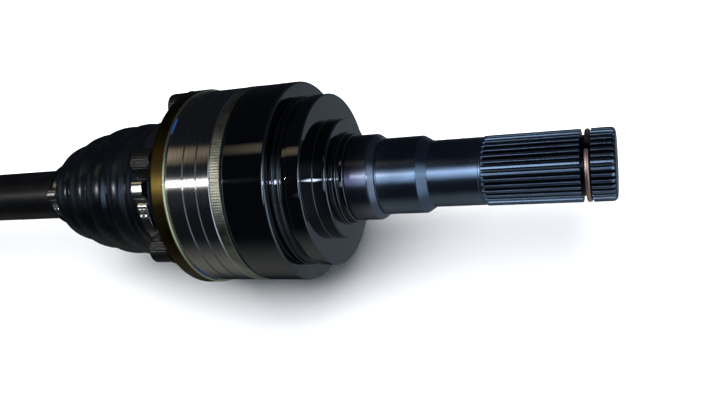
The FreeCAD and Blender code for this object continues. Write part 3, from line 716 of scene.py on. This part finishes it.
def make_bolts(side):
    """Socket-head bolts with knurled heads, on flat washers."""
    seat, height, head, shank, tip = -21.0, 11.5, 8.0, 4.9, 36.0
    socket_corners, knurls, knurl_depth = 9.24, 36, 0.28
    top = seat - height
    socket = [(top + 5.0, 0.0), (top + 5.0, 4.0), (top + 0.5, 4.0), (top, 4.35)]
    body = soften([(top, 4.8), (top, head, 0.9), (top + 1.2, head), (seat - 1.0, head), (seat, head, 0.4),
                   (seat, shank, 0.3), (tip, shank, 0.8), (tip, 2.0)]) + [(tip, 0.0)]

    def shape(index, along, radius, angle):
        if index in (1, 2):
            return along, hexagon(socket_corners, angle)
        if radius > head - 0.1 and top + 1.0 < along < seat - 0.6:
            return along, radius - knurl_depth * math.sin(knurls * angle / 2) ** 2
        return along, radius

    bolt = spun(socket + body, 4 * knurls, shape, hub=BOLT_CIRCLE)
    bore, rim, end = 5.3, 8.6, seat + 1.0
    washer = spun(soften([(seat, bore), (seat, rim, 0.25), (end, rim, 0.25), (end, bore)], closed=True),
                  64, closed=True, hub=BOLT_CIRCLE)
    for name, part, node, sharp in (("socket_bolts", bolt, "bolts", 35.0),
                                    ("bolt_washers", washer, "washers", 40.0)):
        piece = add_piece(f"{side}_{name}", *round_the_bolts(part), placed(side, BOLT_TURN),
                          LOOKS["black_oxide"], sharp=sharp)
        finish_piece(piece, side, [f"{side}_{node}"])


# ---------------------------------------------------------------- boot and clamps

# The boot's outside, along and radius: lips at the neck, four ribs with three hollows, and the cuff.
BOOT_OUTSIDE = [
    (-124.5, 18.6), (-123.9, 19.2), (-123.1, 18.9), (-122.8, 18.0), (-119.6, 18.0), (-116.3, 18.0),
    (-116.0, 19.0), (-115.0, 20.6), (-113.8, 23.2), (-111.5, 25.9), (-108.0, 28.4), (-104.0, 29.8),
    (-100.5, 30.4), (-98.4, 30.1), (-97.4, 29.9), (-96.2, 31.1), (-93.0, 33.6), (-88.5, 34.9),
    (-84.5, 35.3), (-82.0, 34.9), (-80.6, 34.6), (-79.2, 35.9), (-76.0, 37.6), (-71.5, 38.4),
    (-67.5, 38.3), (-65.2, 37.4), (-64.0, 37.0), (-62.8, 37.9), (-60.0, 39.0), (-56.5, 39.3),
    (-53.2, 38.8), (-51.4, 37.7), (-50.4, 37.5), (-49.2, 38.0), (-46.6, 39.1), (-44.5, 39.7),
    (-41.6, 39.9), (-40.6, 39.55), (-37.0, 39.55), (-33.4, 39.55), (-32.6, 39.3)]


def boot_inside(along, radius):
    """The inside radius: snug on the bar and on the flange's neck, and one wall in between."""
    if along < -114.5:
        return BAR_FIT
    if along > -44.0:
        return NECK_FIT
    from_neck = smooth_step(along, -114.5, -109.0)
    to_cuff = smooth_step(along, -49.0, -44.0)
    bell = BAR_FIT * (1 - from_neck) + (radius - WALL) * from_neck
    return bell * (1 - to_cuff) + NECK_FIT * to_cuff


def make_boot(side):
    """The boot in three lengths, cut at the neck and the waist; the bar stays clear of all of them."""
    outside = flowing(BOOT_OUTSIDE, 4)
    stations = sorted(along for along, _ in outside)
    neck, waist = (min(stations, key=lambda along: abs(along - split)) for split in (-97.4, -57.0))
    lengths = [
        ("neck", stations[0], neck, "shaft", f"{side}_star", -113.0, neck),
        ("waist", neck, waist, f"{side}_star", f"{side}_carrier", -90.0, waist),
        ("cuff", waist, stations[-1], f"{side}_carrier", f"{side}_housing", waist, -43.0)]
    matrix = placed(side)
    for name, start, end, first, second, bend_start, bend_end in lengths:
        skin = [p for p in outside if start - 1e-6 <= p[0] <= end + 1e-6]
        wall = skin + [(along, boot_inside(along, radius)) for along, radius in reversed(skin)]
        piece = add_piece(f"{side}_boot_{name}", *spun(wall, 160, closed=True), matrix,
                          LOOKS["boot_rubber"], sharp=70.0, weighted=False)
        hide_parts(f"{side}_boot")
        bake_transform(piece)


def strip(path, start, width, thickness):
    """A band along a path of (y, z) points, with its thickness on the path's outer side."""
    count = len(path)
    outward = []
    for index in range(count):
        before, after = Vector(path[max(index - 1, 0)]), Vector(path[min(index + 1, count - 1)])
        run = (after - before).normalized()
        outward.append(Vector((-run.y, run.x)))
    vertices = []
    end, edge = start + width, 0.15
    for point, out in zip(path, outward):
        lower, upper = Vector(point), Vector(point) + out * thickness
        shoulder = lower.lerp(upper, 0.75)
        ring = [(start, lower), (end, lower), (end, shoulder), (end - edge, upper),
                (start + edge, upper), (start, shoulder)]
        vertices += [(along, *spot) for along, spot in ring]
    return vertices, tube_faces(count, len(ring))


def ear_path(radius, half_width, height):
    """The band's path round the boot and up over the pinched ear at +Z."""
    leg, steps = half_width / radius, 150
    path = [around(radius, leg + (2 * math.pi - 2 * leg) * step / steps) for step in range(steps + 1)]
    top = radius + height
    ear = [(half_width - 0.2, radius + 0.6), (half_width - 1.0, radius + 1.4),
           (half_width - 1.3, radius + height * 0.45), (half_width - 0.5, top - 1.7),
           (half_width - 0.9, top - 0.8), (half_width - 2.4, top - 0.2), (half_width - 4.4, top)]
    rise = flowing(ear, 4)
    over = rise + [(-y, z) for y, z in reversed(rise)]
    return path[::-1] + [(-y, z) for y, z in over]


def clamp_tail(start, width, radius, thickness, first):
    """The band's free end lying over it, with two rows of hooks; first is its first angle in degrees."""
    path = []
    for step in range(41):
        lift = 0.02 + thickness * smooth_step(step, 0, 3)
        path.append(around(radius + lift, math.radians(first + 24 * step / 40)))
    parts = [strip(path[::-1], start + 0.25, width - 0.5, thickness * 0.75)]
    for degrees in (first + 3, first + 8):
        for inset in (0.12, 0.56):
            hook = [around(radius + thickness * 1.55 + 0.8 * math.sin(math.pi * s / 6),
                           math.radians(degrees + s * 0.5)) for s in range(7)]
            parts.append(strip(hook[::-1], start + width * inset, width * 0.32, 0.4))
    return parts


def make_clamp(side, node, start, width, radius, half_width, height, body):
    """A stainless band clamp: the band, its pinched ear and the overlapping tail."""
    thickness = 0.8
    loop = ear_path(radius, half_width, height - thickness)
    ear_reach = math.degrees(half_width / radius)
    parts = [strip(loop[::-1], start, width, thickness)]
    parts += clamp_tail(start, width, radius, thickness, ear_reach + 3)
    piece = add_piece(f"{side}_{node}_band", *joined(parts), placed(side, EAR_TURN),
                      LOOKS["stainless_band"], sharp=35.0)
    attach(piece, body)
    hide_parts(f"{side}_{node}")


# ---------------------------------------------------------------- CAD nodes that stay

def dress_cad_nodes():
    """The CAD pieces that keep their own shape get their finish."""
    looks = {"axle_shaft": "bar_black"}
    for side in SIDES:
        looks.update({
            f"{side}_outer_race": "turned_steel", f"{side}_inner_race": "bearing_steel",
            f"{side}_cage": "bearing_steel", f"{side}_balls": "ball_steel",
            f"{side}_outer_stop_ring": "spring_steel", f"{side}_inner_stop_ring": "spring_steel"})
    for node, look in looks.items():
        mesh = NODES[node].data
        mesh.materials.clear()
        mesh.materials.append(LOOKS[look])


# ---------------------------------------------------------------- floor, light and camera

def make_floor():
    """A plain pale table top under the axle, swept up into a backdrop far out (metres)."""
    table, middle, flat_end, sweep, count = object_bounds()[0][2], 0.4, 3.2, 3.5, 64
    outline = [(0.0, middle), (0.0, flat_end)]
    for degrees in range(6, 91, 6):
        turn = math.radians(degrees)
        outline.append((sweep * (1 - math.cos(turn)), flat_end + sweep * math.sin(turn)))
    vertices, faces = spun([(0.0, 0.0)] + outline, count)
    mesh = bpy.data.meshes.new("floor")
    mesh.from_pydata([(y, z, table + height) for height, y, z in vertices], [], faces)
    mesh.shade_smooth()
    look = Look("floor_white", (0.9, 0.9, 0.9), 0.0, 0.6)
    tone = look.mixed(look.spread(look.noise(3.0), 0.0, 1.0), (0.88, 0.88, 0.885), (0.92, 0.92, 0.92))
    mesh.materials.append(look.finish(Base_Color=tone))
    floor = in_scene(bpy.data.objects.new("floor", mesh))
    floor.visible_glossy = False


# The camera looks down on the axle from the gearbox end.
VIEW_SWING = math.radians(22.1)     # the +X end comes towards the camera by this much
VIEW_HEIGHT = math.radians(57.0)    # elevation in the plane across the axle
VIEW_ROLL = math.radians(2.36)
VIEW_DISTANCE = 386.9
LENS = 35.3
AIM_RIGHT, AIM_UP = 25.8, -12.1     # from the flange's outer face, across the view


def view_axes():
    """The camera's right, up and backward directions."""
    back = Vector((math.sin(VIEW_SWING), -math.cos(VIEW_SWING) * math.cos(VIEW_HEIGHT),
                   math.cos(VIEW_SWING) * math.sin(VIEW_HEIGHT)))
    along = Vector((1, 0, 0))
    flat = (along - back * along.dot(back)).normalized()
    right = Matrix.Rotation(-VIEW_ROLL, 3, back) @ flat
    return right, back.cross(right), back


def make_camera():
    """The camera, a hand's reach from the gearbox end."""
    right, up, back = view_axes()
    aim = DIFF_CENTRE + Vector((FLANGE_EDGE * MM, 0, 0)) + (right * AIM_RIGHT + up * AIM_UP) * MM
    data = bpy.data.cameras.new("camera")
    data.sensor_width = 36.0
    data.lens = LENS
    data.clip_start = 0.01
    camera = in_scene(bpy.data.objects.new("camera", data))
    turn = Matrix((right, up, back)).transposed()
    camera.matrix_world = Matrix.Translation(aim + back * VIEW_DISTANCE * MM) @ turn.to_4x4()
    bpy.context.scene.camera = camera


def aimed(name, data, place, target):
    """A light object at a place, turned to a target."""
    light = in_scene(bpy.data.objects.new(name, data))
    toward = (Vector(target) - Vector(place)).normalized()
    light.matrix_world = Matrix.Translation(place) @ toward.to_track_quat("-Z", "Y").to_matrix().to_4x4()
    return light


def softbox(name, place, target, size, energy, colour):
    """A rectangular light, size across by size up."""
    data = bpy.data.lights.new(name, "AREA")
    data.shape = "RECTANGLE"
    data.size, data.size_y = size
    data.energy = energy
    data.color = colour
    return aimed(name, data, place, target)


def soften_edges(data):
    """Fades an area light from its middle to nothing at its edges."""
    data.use_nodes = True
    wiring = Wiring(data.node_tree)
    split = wiring.parts(wiring.node("ShaderNodeNewGeometry", "Parametric", {}))
    across, up = (wiring.maths("SINE", wiring.maths("MULTIPLY", split[axis], math.pi)) for axis in "XY")
    emission = data.node_tree.nodes["Emission"]
    wiring.set(emission, {"Strength": wiring.maths("MULTIPLY", across, up)})


def make_lights():
    """A wide softbox for the table, and a key, cards and a lamp that only the polish catches."""
    right, up, back = view_axes()
    wide = softbox("table_softbox", DIFF_CENTRE + Vector((-0.1, 0.5, 2.6)), DIFF_CENTRE, (4.2, 4.2),
                   250.0, (0.97, 0.985, 1.0))
    wide.visible_glossy = False
    data = bpy.data.lights.new("key", "SUN")
    data.energy = 0.5
    data.angle = math.radians(3.0)
    key = aimed("key", data, DIFF_CENTRE + right * -0.85 + back * 0.53, DIFF_CENTRE)
    key.visible_diffuse = False
    warm, cool, lamp = (1.0, 0.83, 0.56), (0.62, 0.8, 1.0), (0.75, 0.87, 1.0)
    flange = Vector((FLANGE_EDGE * MM, 0.0, 0.0))
    lamp_place = flange + right * 0.05 - up * 0.02 + back * 0.75
    # name, place and target in metres from the joint's centre, size, watts, colour
    cards = [
        ("warm_card", (-0.72, 0.03, 0.8), (-0.72, 0.03, 0.0), (0.42, 0.34), 0.42, warm),
        ("warm_strip", (-0.34, 0.05, 0.8), (-0.34, 0.05, 0.0), (0.34, 0.2), 0.1, warm),
        ("cool_window", (-1.25, -0.15, 0.3), (0.0, 0.0, 0.0), (0.8, 0.6), 0.7, cool),
        ("near_card", (0.01, -0.27, 0.38), (0.2, 0.0, 0.0), (0.17, 0.4), 1.05, cool),
        ("lamp_by_camera", lamp_place, flange, (0.075, 0.075), 1.2, lamp)]
    for name, place, target, size, energy, colour in cards:
        card = softbox(name, DIFF_CENTRE + Vector(place), DIFF_CENTRE + Vector(target), size, energy, colour)
        card.visible_diffuse = False
        soften_edges(card.data)


def make_room():
    """A dim cool room that grows brighter low down and towards the gearbox end."""
    world = bpy.data.worlds.new("room")
    world.use_nodes = True
    wiring = Wiring(world.node_tree)
    direction = wiring.parts(wiring.node("ShaderNodeTexCoord", "Generated", {}))

    def rise(axis, first, last):
        """0 to 1 as the direction's part along an axis goes from first to last."""
        return wiring.ranged(direction[axis], first, last, smooth=True)

    low = rise("Z", -0.1, -0.7)
    beyond_end = wiring.maths("MULTIPLY", rise("X", 0.3, 0.75), rise("Y", 0.15, -0.3))
    low_in_front = wiring.maths("MULTIPLY", low, rise("Y", 0.1, -0.5))
    low_at_end = wiring.maths("MULTIPLY", low, rise("X", -0.5, 0.3))
    light = wiring.mixed(rise("X", -0.4, 0.1), (0.012, 0.014, 0.019), (0.03, 0.038, 0.05))
    light = wiring.mixed(beyond_end, light, (0.8, 1.0, 1.2))
    light = wiring.mixed(low_in_front, light, (0.19, 0.2, 0.185))
    light = wiring.mixed(low_at_end, light, (0.2, 0.24, 0.27))
    wiring.set(world.node_tree.nodes["Background"], {"Color": light})
    bpy.context.scene.world = world
    bpy.context.scene.view_settings.view_transform = "Standard"


make_camera()
make_floor()
make_lights()
make_room()
dress_cad_nodes()
make_diff_flange()
make_diff_shaft()
make_diff_spline()
make_snap_ring()
make_hub_stub()
make_hub_washer()
make_hub_nut()
for joint_side in SIDES:
    make_end_cap(joint_side)
    make_boot_flange(joint_side)
    make_gasket(joint_side)
    make_bolts(joint_side)
    make_boot(joint_side)
    make_clamp(joint_side, "large_boot_clamp", -40.4, 6.6, 39.6, 5.5, 5.0, f"{joint_side}_housing")
    make_clamp(joint_side, "small_boot_clamp", -122.6, 6.1, 18.05, 4.0, 4.2, "shaft")
